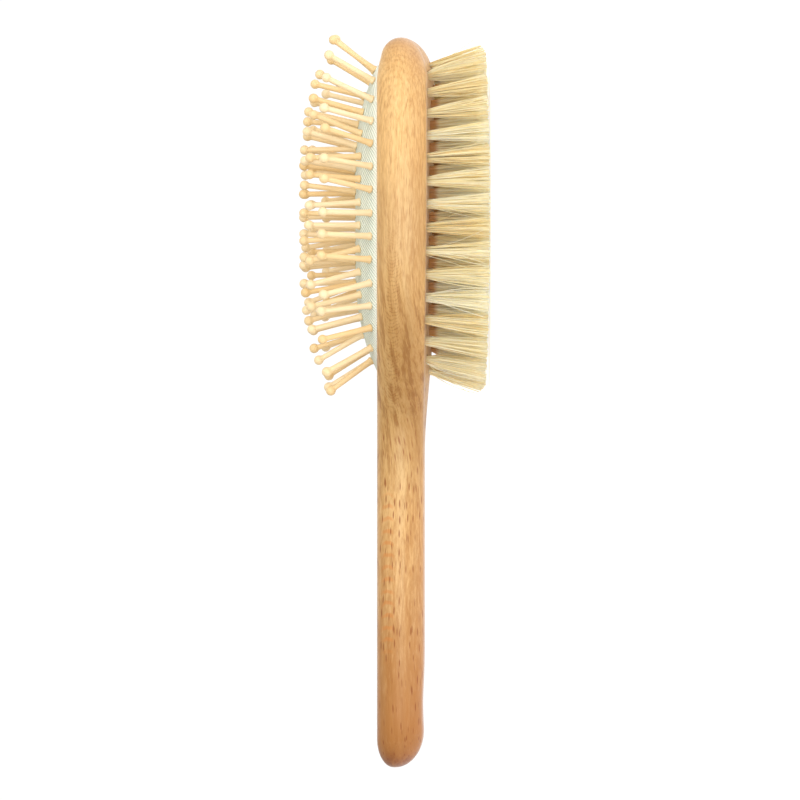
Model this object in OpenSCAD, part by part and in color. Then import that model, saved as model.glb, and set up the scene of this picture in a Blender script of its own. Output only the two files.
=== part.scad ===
// Double-sided wooden brush: an air cushion with ball-tipped pins on one face of the head, and
// tufts of natural fibre on the other.
// Frame: millimetres. The brush lies on its bristle tips. +X runs from the handle to the head,
// +Z points out of the pin side, and Z = 0 is the plane of the trimmed bristle tips.

/* [Body] */
// Overall length
body_l = 220; // [205:1:240]
// Width of the head at its widest
head_w = 56; // [54:1:62]
// Length from the tip of the head to where the neck begins
head_l = 122; // [118:1:126]
// Width of the handle in the neck
neck_w = 21; // [18:1:24]
// Width of the handle at its widest
handle_w = 27; // [24:1:32]
// Height of the pin-side face above the bristle tips
top_z = 33.9; // [33.5:0.1:34.5]
// Height of the bristle-side edge of the head above the bristle tips
head_bottom_z = 19.1; // [18:0.1:19.5]
// Height of the bristle-side face of the handle
handle_bottom_z = 19.8; // [19.2:0.1:21]
// How far the middle of the bristle face bulges
crown = 2.4; // [1:0.1:2.5]

/* [Cushion] */
// Distance from the tip of the head to the middle of the cushion
cushion_from_tip = 54.6; // [54:0.1:56]
// Half of the cushion's length
pad_a = 46.2; // [45:0.1:47]
// Half of the cushion's width
pad_b = 20; // [19.5:0.1:20.5]
// Height of the plane where the cushion leaves the wood
rim_z = 33.8; // [33.5:0.1:34]
// Height of the crown of the cushion above that plane
dome_h = 6.7; // [6:0.1:7.5]
// Thickness of the canvas
canvas_t = 0.6; // [0.5:0.1:0.8]
// Thickness of the rubber
rubber_t = 1.25; // [1:0.05:1.3]

/* [Pins] */
// Length of a pin from the canvas to the end of its ball
pin_l = 17; // [15:0.5:17.5]
// Diameter of the ball
ball_d = 3; // [2.8:0.1:3.2]
// Diameter of the shaft
shaft_d = 1.75; // [1.5:0.05:2]
// Diameter of the foot that sits on the canvas
foot_d = 2.5; // [2.2:0.1:2.6]
// Pins in the outer ring
pins_outer = 30; // [26:2:30]
// Pins in the middle ring
pins_middle = 24; // [20:2:24]
// Pins in the inner ring
pins_inner = 18; // [14:2:18]
// Pins in the row along the middle
pins_centre = 7; // [5:2:7]

/* [Bristles] */
// Half of the length of the outer ring of tufts
tufts_a = 45.9; // [45:0.1:46]
// Half of the width of the outer ring of tufts
tufts_b = 20.4; // [19:0.1:20.5]
// Distance from one ring of tufts to the next
tuft_ring_gap = 6.6; // [6.6:0.1:6.8]
// Diameter of a drilled tuft hole
tuft_hole_d = 3; // [2.8:0.1:3]
// Depth of a drilled tuft hole
tuft_hole_l = 7; // [6:0.5:7]
// Diameter of a tuft at its trimmed tips
tuft_tip_d = 5.4; // [4.5:0.1:5.6]
// Tufts in the outer ring
tufts_outer = 32; // [28:4:32]
// Tufts in the middle ring
tufts_middle = 26; // [22:2:26]
// Tufts in the inner ring
tufts_inner = 20; // [16:2:20]
// Tufts in the row along the middle
tufts_centre = 9; // [7:2:9]

/* [Hidden] */

// ---- shared sizes ----
left = 1; // +Y
right = -1; // -Y, the side a viewer sees with the head at the right
cushion_x = body_l / 2 - cushion_from_tip; // middle of the cushion and of the tuft field
oval_n = 2.35; // fullness of every oval: 2 is an ellipse
seat_gap = 0.2; // between the cushion and the wall of its recess
recess_floor_z = 28;
groove_z = 28.2; // underside of the undercut groove
groove_h = 1.7;
groove_depth = 1.4;
slip = 0.05; // between pieces pressed or glued together

// ---- body outline, as functions of u, the distance from the tip of the head ----
nose_z = 26.7; // height of the foremost point of the head
butt_z = 28.7; // height of the rearmost point of the handle
nose_round_l = 5; // the pin side rises steeply over this length behind the nose
nose_top_l = 14; // and reaches its full height after this one
nose_share = 0.6; // of the rise that is in the steep part
nose_bottom_l = 14;
butt_top_l = 9;
butt_bottom_l = 12;
widest_u = 53; // where the head is widest
butt_round_l = 17; // length of the rounding of the handle's end, seen from above

function clamp01(v) = max(0, min(1, v));
function ease(v) = let (c = clamp01(v)) c * c * (3 - 2 * c);
function quarter(v) = sqrt(max(0, 1 - pow(1 - clamp01(v), 2)));

// The head's own half width: fuller at the tip, longer towards the neck
function head_half(u) =
    let (reach = u < widest_u ? widest_u : head_l - widest_u,
         r = clamp01(abs(u - widest_u) / reach),
         n = u < widest_u ? oval_n : 2.2)
    head_w / 2 * pow(1 - pow(r, n), u < widest_u ? 1 / oval_n : 0.75);
// The handle's own half width: it grows out of the head, swells and rounds off at its end
function handle_half(u) =
    let (swell = ease((u - head_l) / (body_l * 0.82 - head_l)),
         end = clamp01((u - body_l + butt_round_l) / butt_round_l))
    (neck_w + (handle_w - neck_w) * swell) / 2 * ease((u - widest_u) / (head_l - widest_u))
        * pow(1 - pow(end, 2.3), 1 / 2.3);
function half_w(u) = pow(pow(head_half(u), 4) + pow(handle_half(u), 4), 1 / 4);

function in_handle(u) = ease((u - 88) / 38); // 0 in the head, 1 in the handle
waist_depth = 0.5;
waist_u = 201;
waist_l = 9;
function flat_bottom(u) = head_bottom_z + (handle_bottom_z - head_bottom_z) * ease((u - 40) / 80)
    + waist_depth * exp(-pow((u - waist_u) / waist_l, 2));
function nose_rise(u) = nose_share * quarter(u / nose_round_l)
    + (1 - nose_share) * (1 - pow(1 - clamp01(u / nose_top_l), 1.5));
function z_top(u) = u < body_l / 2
    ? nose_z + (top_z - nose_z) * nose_rise(u)
    : butt_z + (top_z - butt_z) * quarter((body_l - u) / butt_top_l);
function z_bottom(u) = u < body_l / 2
    ? nose_z - (nose_z - flat_bottom(u)) * quarter(u / nose_bottom_l)
    : butt_z - (butt_z - flat_bottom(u)) * quarter((body_l - u) / butt_bottom_l);
function bulge(u) = (crown + (0.3 - crown) * in_handle(u)) * quarter(u / nose_bottom_l);
// The edges are rounder at the tip of the head, where they merge into its nose
function near_nose(u) = 1 - ease(u / 20);
function edge_round(u, r) = min(r, half_w(u) * 0.8, (z_top(u) - z_bottom(u)) * 0.47);
function round_top(u) = edge_round(u, 6);
function round_bottom(u) = edge_round(u, 4 + 2 * max(in_handle(u), near_nose(u)));
// The sides swell a little: the width shrinks by this share towards both edges
side_swell = 0.8;
function swell(u, z) =
    let (mid = (z_top(u) + z_bottom(u)) / 2, half = (z_top(u) - z_bottom(u)) / 2, w = half_w(u))
    1 - min(side_swell / w, 0.1) * pow(clamp01(abs(z - mid) / half), 2);
// Height of the bristle face at any point of the head: its middle bulges, its border is flat
function crown_at(q) = pow(1 - q * q, 2);
function face_z(x, y) =
    let (u = body_l / 2 - x, w = (half_w(u) - round_bottom(u)) * swell(u, z_bottom(u)))
    z_bottom(u) - bulge(u) * crown_at(min(1, abs(y) / w));

// ---- body as a loft through sections ----
stations = 64;
face_steps = 5;
corner_steps = 6;
tiny = 0.03;
function station_u(i) = tiny + (body_l - 2 * tiny) * (1 - cos(180 * i / stations)) / 2;
// Right half of a section, from the middle of the pin side round to the middle of the bristle side
function half_section(u) =
    let (w = half_w(u), zt = z_top(u), zb = z_bottom(u), rt = round_top(u), rb = round_bottom(u))
    [for (p = concat(
        [for (i = [0:face_steps - 1]) [(w - rt) * i / face_steps, zt]],
        [for (i = [0:corner_steps]) let (a = 90 - 90 * i / corner_steps)
            [w - rt + rt * cos(a), zt - rt + rt * sin(a)]],
        [for (i = [0:corner_steps]) let (a = -90 * i / corner_steps)
            [w - rb + rb * cos(a), zb + rb + rb * sin(a)]],
        [for (i = [1:face_steps]) let (q = 1 - i / face_steps)
            [(w - rb) * q, zb - bulge(u) * crown_at(q)]]))
        [p[0] * swell(u, p[1]), p[1]]];
function section(u) =
    let (h = half_section(u), n = len(h))
    concat([for (p = h) [body_l / 2 - u, p[0], p[1]]],
        [for (i = [n - 2:-1:1]) [body_l / 2 - u, -h[i][0], h[i][1]]]);
// Closed solid through rings that have the same number of points, with a middle point at each end
module loft(rings) {
    n = len(rings[0]);
    last = len(rings) - 1;
    start = n * len(rings);
    middle = [for (i = [0:n - 1]) 1 / n];
    polyhedron(
        concat([for (r = rings) each r], [middle * rings[0], middle * rings[last]]),
        [for (j = [0:n - 1]) let (k = (j + 1) % n) each concat(
            [[start, k, j], [start + 1, last * n + j, last * n + k]],
            [for (i = [0:last - 1]) each [[i * n + j, i * n + k, (i + 1) * n + k],
                [i * n + j, (i + 1) * n + k, (i + 1) * n + j]]])]);
}

// ---- ovals ----
function signed_pow(v, e) = sign(v) * pow(abs(v), e);
function oval(a, b, t) = [a * signed_pow(cos(t), 2 / oval_n), b * signed_pow(sin(t), 2 / oval_n)];
outline_steps = 72;
function outline(a, b) = [for (i = [0:outline_steps - 1]) oval(a, b, 360 * i / outline_steps)];
// Equal steps along an oval: a table of [length so far, angle] is read backwards
arc_step = 3;
function arc_table(a, b) =
    let (p = [for (t = [0:arc_step:360]) oval(a, b, t)],
         s = [for (i = 0, l = 0; i < len(p); l = l + (i + 1 < len(p) ? norm(p[i + 1] - p[i]) : 0), i = i + 1) l])
    [for (i = [0:len(p) - 1]) [s[i], i * arc_step]];
function spaced(a, b, count) =
    let (table = arc_table(a, b), total = table[len(table) - 1][0])
    [for (i = [0:count - 1]) oval(a, b, lookup(total * (i + 0.5) / count, table))];
function on_side(points, side) = [for (p = points) if (p[1] * side > 0) p];
function row(count, pitch) = [for (i = [0:count - 1]) [(i - (count - 1) / 2) * pitch, 0]];

// ---- cushion dome: every ring at share s of the way out has one height ----
dome_power = 2.8;
end_spread = 1.85; // rings lie this much further apart at the ends than at the sides
cap_s = 0.04;
dome_steps = 10;
function ring_a(a, b, s) = a - b * end_spread * (1 - s);
function dome_rise(s) = 1 - pow(s, dome_power);
// Share of the way out of the level oval through point p, by halving
function share_at(p, lo = 0.02, hi = 1, turns = 14) =
    let (s = (lo + hi) / 2)
    turns == 0 ? s
    : pow(abs(p[0]) / ring_a(pad_a, pad_b, s), oval_n) + pow(abs(p[1]) / (pad_b * s), oval_n) > 1
        ? share_at(p, s, hi, turns - 1) : share_at(p, lo, s, turns - 1);
function dome_z(p) = rim_z + dome_h * dome_rise(share_at(p));
probe = 0.3; // distance over which the slope of the dome is taken
function dome_slope(p) = [for (step = [[probe, 0], [0, probe]])
    (dome_z(p + step) - dome_z(p - step)) / (2 * probe)];
// Level oval at share s of the way out, drawn in by inset
function level(inset, s, z) = let (a = pad_a - inset, b = pad_b - inset)
    [for (p = outline(ring_a(a, b, s), b * s)) [cushion_x + p[0], p[1], z]];
function dome_levels(inset, height) = [for (i = [0:dome_steps])
    let (s = 1 - (1 - cap_s) * i / dome_steps) level(inset, s, rim_z + height * dome_rise(s))];
function backwards(list) = [for (i = [len(list) - 1:-1:0]) list[i]];
module oval_slab(a, b, z0, z1) translate([cushion_x, 0, z0]) linear_extrude(z1 - z0) polygon(outline(a, b));

// ---- pins ----
outer_ring = [44, 18]; // half length and half width of each ring of pins
middle_ring = [36.6, 12];
inner_ring = [29.2, 6];
pin_row_pitch = 6.7;
pins_shift = 1; // the field of pins sits this much nearer the tip than the cushion does
pin_neck_d = 1.2;
pin_neck_l = 2.35;
pin_head_d = 2;
pin_head_l = 0.8;
pin_hole_d = 1.4;
lean_ends = 36; // lean of the pins at the two ends of the cushion, in degrees
lean_sides = 23; // lean of the outer pins at its sides
function shifted(points) = [for (p = points) p + [pins_shift, 0]];
outer_pins = shifted(spaced(outer_ring[0], outer_ring[1], pins_outer));
middle_pins = shifted(spaced(middle_ring[0], middle_ring[1], pins_middle));
inner_pins = shifted(spaced(inner_ring[0], inner_ring[1], pins_inner));
centre_pins = shifted(row(pins_centre, pin_row_pitch));
// Pins on an air cushion never stand quite evenly: a fixed sway, different for each place
function sway_x(p) = -5.1 * sin(20.33 * p[0] + 93.94 * p[1] + 6)
    - 7 * sin(49.98 * p[0] + 118.27 * p[1] + 131);
function sway_y(p) = 2.5 * sin(97.3 * p[0] + 61.7 * p[1] + 286);
function pin_lean(p) =
    let (r = (p[0] - pins_shift) / outer_ring[0], q = abs(p[1]) / outer_ring[1])
    [lean_ends * (0.62 * r + 0.38 * pow(r, 5)) + sway_x(p),
     sign(p[1]) * lean_sides * pow(q, 1.6) + sway_y(p)];
function direction(lean, down = false) = let (d = [tan(lean[0]), tan(lean[1]), down ? -1 : 1]) d / norm(d);
// Stands a child on point p at height z, leaning by the two angles of lean
module lean_on(p, z, lean, down = false) {
    d = direction(lean, down);
    translate([cushion_x + p[0], p[1], z]) rotate([0, acos(d[2]), atan2(d[1], d[0])]) children();
}
foot_l = 1.3;
foot_edge = 0.3;
ball_steps = 7;
foot_gap = 0.06; // between the foot and the canvas
// Height of the middle of a pin's foot, so that its lower edge clears the slope of the canvas
function pin_z(p) =
    let (g = dome_slope(p), up = [-g[0], -g[1], 1], d = direction(pin_lean(p)),
         tilt = acos(min(1, up * d / norm(up))))
    dome_z(p) + (foot_gap + max(0, foot_d / 2 * sin(tilt) - foot_edge * cos(tilt))) * norm(up);
module pin() {
    neck_r = pin_neck_d / 2;
    ball_r = ball_d / 2;
    shaft_r = shaft_d / 2;
    tip_r = shaft_r * 0.92;
    join = asin(tip_r / ball_r); // where the shaft meets the ball
    rotate_extrude($fn = 24) polygon(concat(
        [[0, -pin_neck_l - pin_head_l], [pin_head_d / 2, -pin_neck_l - pin_head_l],
         [pin_head_d / 2, -pin_neck_l - pin_head_l / 3], [neck_r, -pin_neck_l], [neck_r, 0],
         [foot_d / 2, foot_edge], [foot_d / 2 - 0.1, foot_edge * 2], [shaft_r, foot_l]],
        [for (i = [0:ball_steps]) let (a = 180 - join - (180 - join) * i / ball_steps)
            [ball_r * sin(a), pin_l - ball_r + ball_r * cos(a)]]));
}
module pins_at(points) for (p = points) lean_on(p, pin_z(p), pin_lean(p)) pin();
module pin_holes() for (p = concat(outer_pins, middle_pins, inner_pins, centre_pins))
    lean_on(p, pin_z(p), pin_lean(p)) cylinder(h = 6, d = pin_hole_d, center = true, $fn = 24);

// ---- tufts ----
tuft_row_pitch = 6.5;
tuft_lean_ends = 15;
tuft_lean_sides = 11;
tuft_start = 0.3; // the tuft begins to spread this far outside the wood
bearing_every = 4; // each fourth outer tuft is in the bearing set
staple_l = 2.7;
staple_t = 0.45;
staple_h = 1.2;
staple_up = 1; // from the bottom of the hole
function tuft_ring(k, count) = spaced(tufts_a - k * tuft_ring_gap, tufts_b - k * tuft_ring_gap, count);
outer_tufts = tuft_ring(0, tufts_outer);
middle_tufts = tuft_ring(1, tufts_middle);
inner_tufts = tuft_ring(2, tufts_inner);
centre_tufts = row(tufts_centre, tuft_row_pitch);
function bearing(points) = [for (i = [0:len(points) - 1]) if (i % bearing_every == 1) points[i]];
function not_bearing(points) = [for (i = [0:len(points) - 1]) if (i % bearing_every != 1) points[i]];
function tuft_lean(p) = let (r = p[0] / tufts_a)
    [tuft_lean_ends * (0.4 * r + 0.6 * pow(r, 3)), tuft_lean_sides * p[1] / tufts_b];
module at_tuft(p) lean_on(p, face_z(cushion_x + p[0], p[1]), tuft_lean(p), down = true) children();
module tuft(p) {
    butt_r = tuft_hole_d / 2 - slip;
    free_l = 22; // past the trimming plane for the most slanted tuft
    spread = butt_r + (tuft_tip_d / 2 - butt_r) * free_l / head_bottom_z;
    intersection() {
        at_tuft(p) difference() {
            rotate_extrude($fn = 24) polygon([[0, slip - tuft_hole_l], [butt_r, slip - tuft_hole_l],
                [butt_r, tuft_start], [spread, free_l], [0, free_l]]);
            translate([0, 0, staple_up + staple_h / 2 - tuft_hole_l])
                cube([2 * tuft_hole_d, staple_t + 2 * slip, staple_h + 2 * slip], center = true);
        }
        translate([cushion_x - body_l / 2, -head_w / 2, 0]) cube([body_l, head_w, head_bottom_z + 12]);
    }
}
module tufts_at(points) for (p = points) tuft(p);
module tuft_holes_at(points) for (p = points) at_tuft(p)
    translate([0, 0, -tuft_hole_l]) cylinder(h = tuft_hole_l + 2, d = tuft_hole_d, $fn = 24);
module staples_at(points) for (p = points) at_tuft(p)
    translate([0, 0, staple_up + staple_h / 2 - tuft_hole_l]) cube([staple_l, staple_t, staple_h], center = true);

// ---- sub-parts ----
module wood_body() color("burlywood") difference() {
    loft([for (i = [0:stations]) section(station_u(i))]);
    oval_slab(pad_a + seat_gap, pad_b + seat_gap, recess_floor_z, top_z + 1);
    oval_slab(pad_a + seat_gap + groove_depth, pad_b + seat_gap + groove_depth, groove_z, groove_z + groove_h);
    tuft_holes_at(outer_tufts);
    tuft_holes_at(middle_tufts);
    tuft_holes_at(inner_tufts);
    tuft_holes_at(centre_tufts);
}

canvas_skirt = 2; // how far the canvas is tucked into the recess
module cushion_canvas() color("honeydew") difference() {
    edge_z = rim_z - canvas_skirt;
    loft(concat(backwards(dome_levels(canvas_t, dome_h - canvas_t)),
        [level(canvas_t, 1, edge_z), level(0, 1, edge_z)], dome_levels(0, dome_h)));
    pin_holes();
}

bead_out = 1.2; // how far the bead stands out into the groove
skirt_t = 0.7;
module cushion_rubber() color("peru") difference() {
    outer = canvas_t + slip;
    skirt_in = outer + skirt_t;
    bead_z = groove_z + slip;
    bead_top = groove_z + groove_h - slip;
    loft(concat(backwards(dome_levels(skirt_in, dome_h - outer - rubber_t)),
        [level(skirt_in, 1, bead_z), level(-bead_out, 1, bead_z), level(-bead_out, 1, bead_top),
         level(outer, 1, bead_top)],
        dome_levels(outer, dome_h - outer)));
    pin_holes();
}

module pins_outer_left() color("wheat") pins_at(on_side(outer_pins, left));
module pins_outer_right() color("wheat") pins_at(on_side(outer_pins, right));
module pins_middle_left() color("wheat") pins_at(on_side(middle_pins, left));
module pins_middle_right() color("wheat") pins_at(on_side(middle_pins, right));
module pins_inner_left() color("wheat") pins_at(on_side(inner_pins, left));
module pins_inner_right() color("wheat") pins_at(on_side(inner_pins, right));
module pins_centre_row() color("wheat") pins_at(centre_pins);

module tufts_bearing() color("khaki") tufts_at(bearing(outer_tufts));
module tufts_outer_left() color("khaki") tufts_at(on_side(not_bearing(outer_tufts), left));
module tufts_outer_right() color("khaki") tufts_at(on_side(not_bearing(outer_tufts), right));
module tufts_middle_left() color("khaki") tufts_at(on_side(middle_tufts, left));
module tufts_middle_right() color("khaki") tufts_at(on_side(middle_tufts, right));
module tufts_inner_left() color("khaki") tufts_at(on_side(inner_tufts, left));
module tufts_inner_right() color("khaki") tufts_at(on_side(inner_tufts, right));
module tufts_centre_row() color("khaki") tufts_at(centre_tufts);

module staples_outer() color("silver") staples_at(outer_tufts);
module staples_middle() color("silver") staples_at(middle_tufts);
module staples_inner() color("silver") staples_at(inner_tufts);
module staples_centre_row() color("silver") staples_at(centre_tufts);

wood_body();
cushion_canvas();
cushion_rubber();
pins_outer_left();
pins_outer_right();
pins_middle_left();
pins_middle_right();
pins_inner_left();
pins_inner_right();
pins_centre_row();
tufts_bearing();
tufts_outer_left();
tufts_outer_right();
tufts_middle_left();
tufts_middle_right();
tufts_inner_left();
tufts_inner_right();
tufts_centre_row();
staples_outer();
staples_middle();
staples_inner();
staples_centre_row();
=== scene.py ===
import math
import random

import bmesh
import bpy
import numpy as np
from mathutils import Matrix, Vector


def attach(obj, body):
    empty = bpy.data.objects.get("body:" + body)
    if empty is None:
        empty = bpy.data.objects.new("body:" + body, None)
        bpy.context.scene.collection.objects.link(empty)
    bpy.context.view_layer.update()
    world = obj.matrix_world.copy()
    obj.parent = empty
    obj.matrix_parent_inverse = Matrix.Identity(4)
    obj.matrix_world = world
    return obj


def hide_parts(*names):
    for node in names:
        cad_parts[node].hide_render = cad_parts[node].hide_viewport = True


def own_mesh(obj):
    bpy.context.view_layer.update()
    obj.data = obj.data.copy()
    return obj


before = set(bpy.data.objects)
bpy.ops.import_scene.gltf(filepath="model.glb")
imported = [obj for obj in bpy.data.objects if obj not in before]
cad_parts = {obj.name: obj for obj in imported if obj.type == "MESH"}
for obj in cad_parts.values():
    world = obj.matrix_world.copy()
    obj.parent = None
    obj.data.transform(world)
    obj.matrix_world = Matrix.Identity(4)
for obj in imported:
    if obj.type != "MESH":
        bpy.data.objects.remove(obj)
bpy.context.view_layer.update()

MM = 0.001
RNG = np.random.default_rng(7)

# ---------------------------------------------------------------- sizes, in millimetres
# The same driving sizes and outlines as the CAD part. u is the distance from the head's tip.
BODY_L = 220.0
HEAD_W = 56.0
HEAD_L = 122.0
NECK_W = 21.0
HANDLE_W = 27.0
TOP_Z = 33.9
HEAD_BOTTOM_Z = 19.1
HANDLE_BOTTOM_Z = 19.8
CROWN = 2.4
NOSE_Z = 26.7
BUTT_Z = 28.7
WIDEST_U = 53.0  # where the head is widest
OVAL_N = 2.35  # fullness of every oval: 2 is an ellipse
NOSE_ROUND_L, NOSE_TOP_L, NOSE_SHARE, NOSE_BOTTOM_L = 5, 14, 0.6, 14
BUTT_TOP_L, BUTT_BOTTOM_L, BUTT_ROUND_L = 9, 12, 17
WAIST_U, WAIST_L, WAIST_DEPTH = 201, 9, 0.5
SIDE_SWELL = 0.8
TOP_EDGE_R, BOTTOM_EDGE_R, BOTTOM_EDGE_GROWTH = 6, 4, 2
HEAD_BACK_N, HEAD_BACK_POWER = 2.2, 0.75  # fullness of the head's outline towards the neck
HANDLE_WIDEST, BUTT_N = 0.82, 2.3  # as a share of the length, and fullness of the round end
NECK_U, NECK_L = 88, 38  # where the head's section turns into the handle's, and over what length
BOTTOM_RISE_U, BOTTOM_RISE_L = 40, 80  # the same for the height of the flat bottom
NOSE_BLEND_L = 20
HANDLE_CROWN = 0.3

CUSHION_FROM_TIP = 54.6
CUSHION_X = BODY_L / 2 - CUSHION_FROM_TIP
PAD_A, PAD_B = 46.2, 20.0
RIM_Z = 33.8
DOME_H = 6.7
DOME_POWER = 2.8
END_SPREAD = 1.85  # how much slower the dome rises at its two ends than at its sides
CAP_S = 0.03  # share of the way out of the dome's innermost ring
SEAT_GAP = 0.2
RECESS_FLOOR_Z = 28.0
GROOVE_Z, GROOVE_H, GROOVE_DEPTH = 28.2, 1.7, 1.4
CANVAS_T = 0.6
RUBBER_T = 1.25

SLIP = 0.05  # between pieces pressed or glued together
SKIRT_DROP = 1.1  # from the rim down to the top of the rubber's skirt
RUBBER_INSET = 0.75  # the rubber's inner side, in from the back of the canvas

PIN_L = 17.0
BALL_R = 1.5
SHAFT_R = 0.875
RINGS = {"outer": (44.0, 18.0, 30), "middle": (36.6, 12.0, 24), "inner": (29.2, 6.0, 18)}
CENTRE_PINS, PIN_ROW_PITCH, PINS_SHIFT = 7, 6.7, 1.0
FOOT_R, FOOT_EDGE, FOOT_GAP = 1.25, 0.3, 0.06
PIN_NECK_R, PIN_HEAD_R = 0.6, 1.0
PIN_LEAN_ENDS, PIN_LEAN_SIDES = 36, 23  # degrees

TUFTS_A, TUFTS_B, TUFT_RING_GAP = 45.9, 20.4, 6.6
TUFT_RINGS = {"outer": (0, 32), "middle": (1, 26), "inner": (2, 20)}
CENTRE_TUFTS, TUFT_ROW_PITCH = 9, 6.5
TUFT_HOLE_R, TUFT_HOLE_L = 1.5, 7.0
TUFT_LEAN_ENDS, TUFT_LEAN_SIDES = 15, 11  # degrees
BEARING_EVERY = 4
FIBRES, FIBRE_STEPS, FIBRE_SIDES = 84, 6, 3
GOLDEN_ANGLE = 2.39996
FIBRE_R, TIPS_R = (0.095, 0.14), (3.3, 3.9)  # ranges of a fibre's and of a tuft's radius at the tips
STRAY_SHARE = 0.055  # share of the fibres that stray far from their tuft
FIBRE_TAPER = 0.28  # share of its radius that a fibre loses on the way to its tip
TRIM_L, TRIM_RISE, TRIM_CUT, TRIM_CUT_L = 50, 0.9, 2.0, 3.5
ROOTS_R, ROOTS_DEPTH = 1.28, 1.6  # a tuft's radius at the face, and how deep its fibres begin


# ---------------------------------------------------------------- outlines
def clamp01(v):
    return np.clip(v, 0.0, 1.0)


def ease(v):
    c = clamp01(v)
    return c * c * (3 - 2 * c)


def quarter(v):
    return np.sqrt(np.maximum(0, 1 - (1 - clamp01(v)) ** 2))


def head_half(u):
    near_tip = u < WIDEST_U
    r = clamp01(abs(u - WIDEST_U) / (WIDEST_U if near_tip else HEAD_L - WIDEST_U))
    if near_tip:
        return HEAD_W / 2 * (1 - r ** OVAL_N) ** (1 / OVAL_N)
    return HEAD_W / 2 * (1 - r ** HEAD_BACK_N) ** HEAD_BACK_POWER


def handle_half(u):
    swell = ease((u - HEAD_L) / (BODY_L * HANDLE_WIDEST - HEAD_L))
    end = clamp01((u - BODY_L + BUTT_ROUND_L) / BUTT_ROUND_L)
    grown = ease((u - WIDEST_U) / (HEAD_L - WIDEST_U))
    return (NECK_W + (HANDLE_W - NECK_W) * swell) / 2 * grown * (1 - end ** BUTT_N) ** (1 / BUTT_N)


def half_w(u):
    return (head_half(u) ** 4 + handle_half(u) ** 4) ** 0.25


def in_handle(u):
    """0 in the head, 1 in the handle."""
    return ease((u - NECK_U) / NECK_L)


def flat_bottom(u):
    waist = WAIST_DEPTH * math.exp(-(((u - WAIST_U) / WAIST_L) ** 2))
    rise = ease((u - BOTTOM_RISE_U) / BOTTOM_RISE_L)
    return HEAD_BOTTOM_Z + (HANDLE_BOTTOM_Z - HEAD_BOTTOM_Z) * rise + waist


def z_top(u):
    if u < BODY_L / 2:
        steep = NOSE_SHARE * quarter(u / NOSE_ROUND_L)
        rise = steep + (1 - NOSE_SHARE) * (1 - (1 - clamp01(u / NOSE_TOP_L)) ** 1.5)
        return NOSE_Z + (TOP_Z - NOSE_Z) * rise
    return BUTT_Z + (TOP_Z - BUTT_Z) * quarter((BODY_L - u) / BUTT_TOP_L)


def z_bottom(u):
    if u < BODY_L / 2:
        return NOSE_Z - (NOSE_Z - flat_bottom(u)) * quarter(u / NOSE_BOTTOM_L)
    return BUTT_Z - (BUTT_Z - flat_bottom(u)) * quarter((BODY_L - u) / BUTT_BOTTOM_L)


def bulge(u):
    return (CROWN + (HANDLE_CROWN - CROWN) * in_handle(u)) * quarter(u / NOSE_BOTTOM_L)


def near_nose(u):
    return 1 - ease(u / NOSE_BLEND_L)


def edge_round(u, r):
    return min(r, half_w(u) * 0.8, (z_top(u) - z_bottom(u)) * 0.47)


def round_top(u):
    return edge_round(u, TOP_EDGE_R)


def round_bottom(u):
    return edge_round(u, BOTTOM_EDGE_R + BOTTOM_EDGE_GROWTH * max(in_handle(u), near_nose(u)))


def swell(u, z):
    """The sides swell a little: the share of the width that is left at height z."""
    mid, half = (z_top(u) + z_bottom(u)) / 2, (z_top(u) - z_bottom(u)) / 2
    return 1 - min(SIDE_SWELL / half_w(u), 0.1) * clamp01(abs(z - mid) / half) ** 2


def crown_at(q):
    return (1 - q * q) ** 2


def face_z(x, y):
    u = BODY_L / 2 - x
    w = (half_w(u) - round_bottom(u)) * swell(u, z_bottom(u))
    return z_bottom(u) - bulge(u) * crown_at(min(1, abs(y) / w))


def signed_pow(v, e):
    return np.sign(v) * np.abs(v) ** e


def oval(a, b, degrees):
    t = np.radians(degrees)
    return np.stack([a * signed_pow(np.cos(t), 2 / OVAL_N), b * signed_pow(np.sin(t), 2 / OVAL_N)], -1)


def spaced(a, b, count):
    """count points at equal steps along an oval, the first half a step from its far end."""
    steps = np.arange(0, 361, 3.0)
    points = oval(a, b, steps)
    run = np.concatenate([[0], np.cumsum(np.linalg.norm(np.diff(points, axis=0), axis=1))])
    angle = np.interp(run[-1] * (np.arange(count) + 0.5) / count, run, steps)
    return oval(a, b, angle)


def row(count, pitch):
    return np.array([[(i - (count - 1) / 2) * pitch, 0.0] for i in range(count)])


def ring_a(a, b, s):
    """Half length of the dome's level oval at share s of the way out."""
    return a - b * END_SPREAD * (1 - s)


def dome_rise(s):
    """Share of the dome's height at share s of the way out."""
    return 1 - s ** DOME_POWER


# ---------------------------------------------------------------- mesh helpers
def new_piece(name, points_mm, faces, material, body="brush_body"):
    mesh = bpy.data.meshes.new(name)
    mesh.from_pydata((np.asarray(points_mm, float) * MM).tolist(), [], faces)
    mesh.validate()
    mesh.update()
    for poly in mesh.polygons:
        poly.use_smooth = True
    piece = bpy.data.objects.new(name, mesh)
    bpy.context.scene.collection.objects.link(piece)
    mesh.materials.append(material)
    if body:
        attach(piece, body)
    return piece


def add_float(piece, name, values):
    layer = piece.data.attributes.new(name, "FLOAT", "POINT")
    layer.data.foreach_set("value", np.asarray(values, np.float32))


def add_vector(piece, name, values):
    layer = piece.data.attributes.new(name, "FLOAT_VECTOR", "POINT")
    layer.data.foreach_set("vector", np.asarray(values, np.float32).ravel())


def ring_faces(rings, n, first=0):
    """Quads of a tube through rings of n points each."""
    return [
        (first + i * n + j, first + i * n + (j + 1) % n,
         first + (i + 1) * n + (j + 1) % n, first + (i + 1) * n + j)
        for i in range(rings - 1) for j in range(n)
    ]


def tube_faces(rings, n, first=0):
    """The same tube, closed at both ends."""
    last = first + (rings - 1) * n
    ends = [tuple(range(first + n - 1, first - 1, -1)), tuple(range(last, last + n))]
    return ring_faces(rings, n, first) + ends


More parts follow.
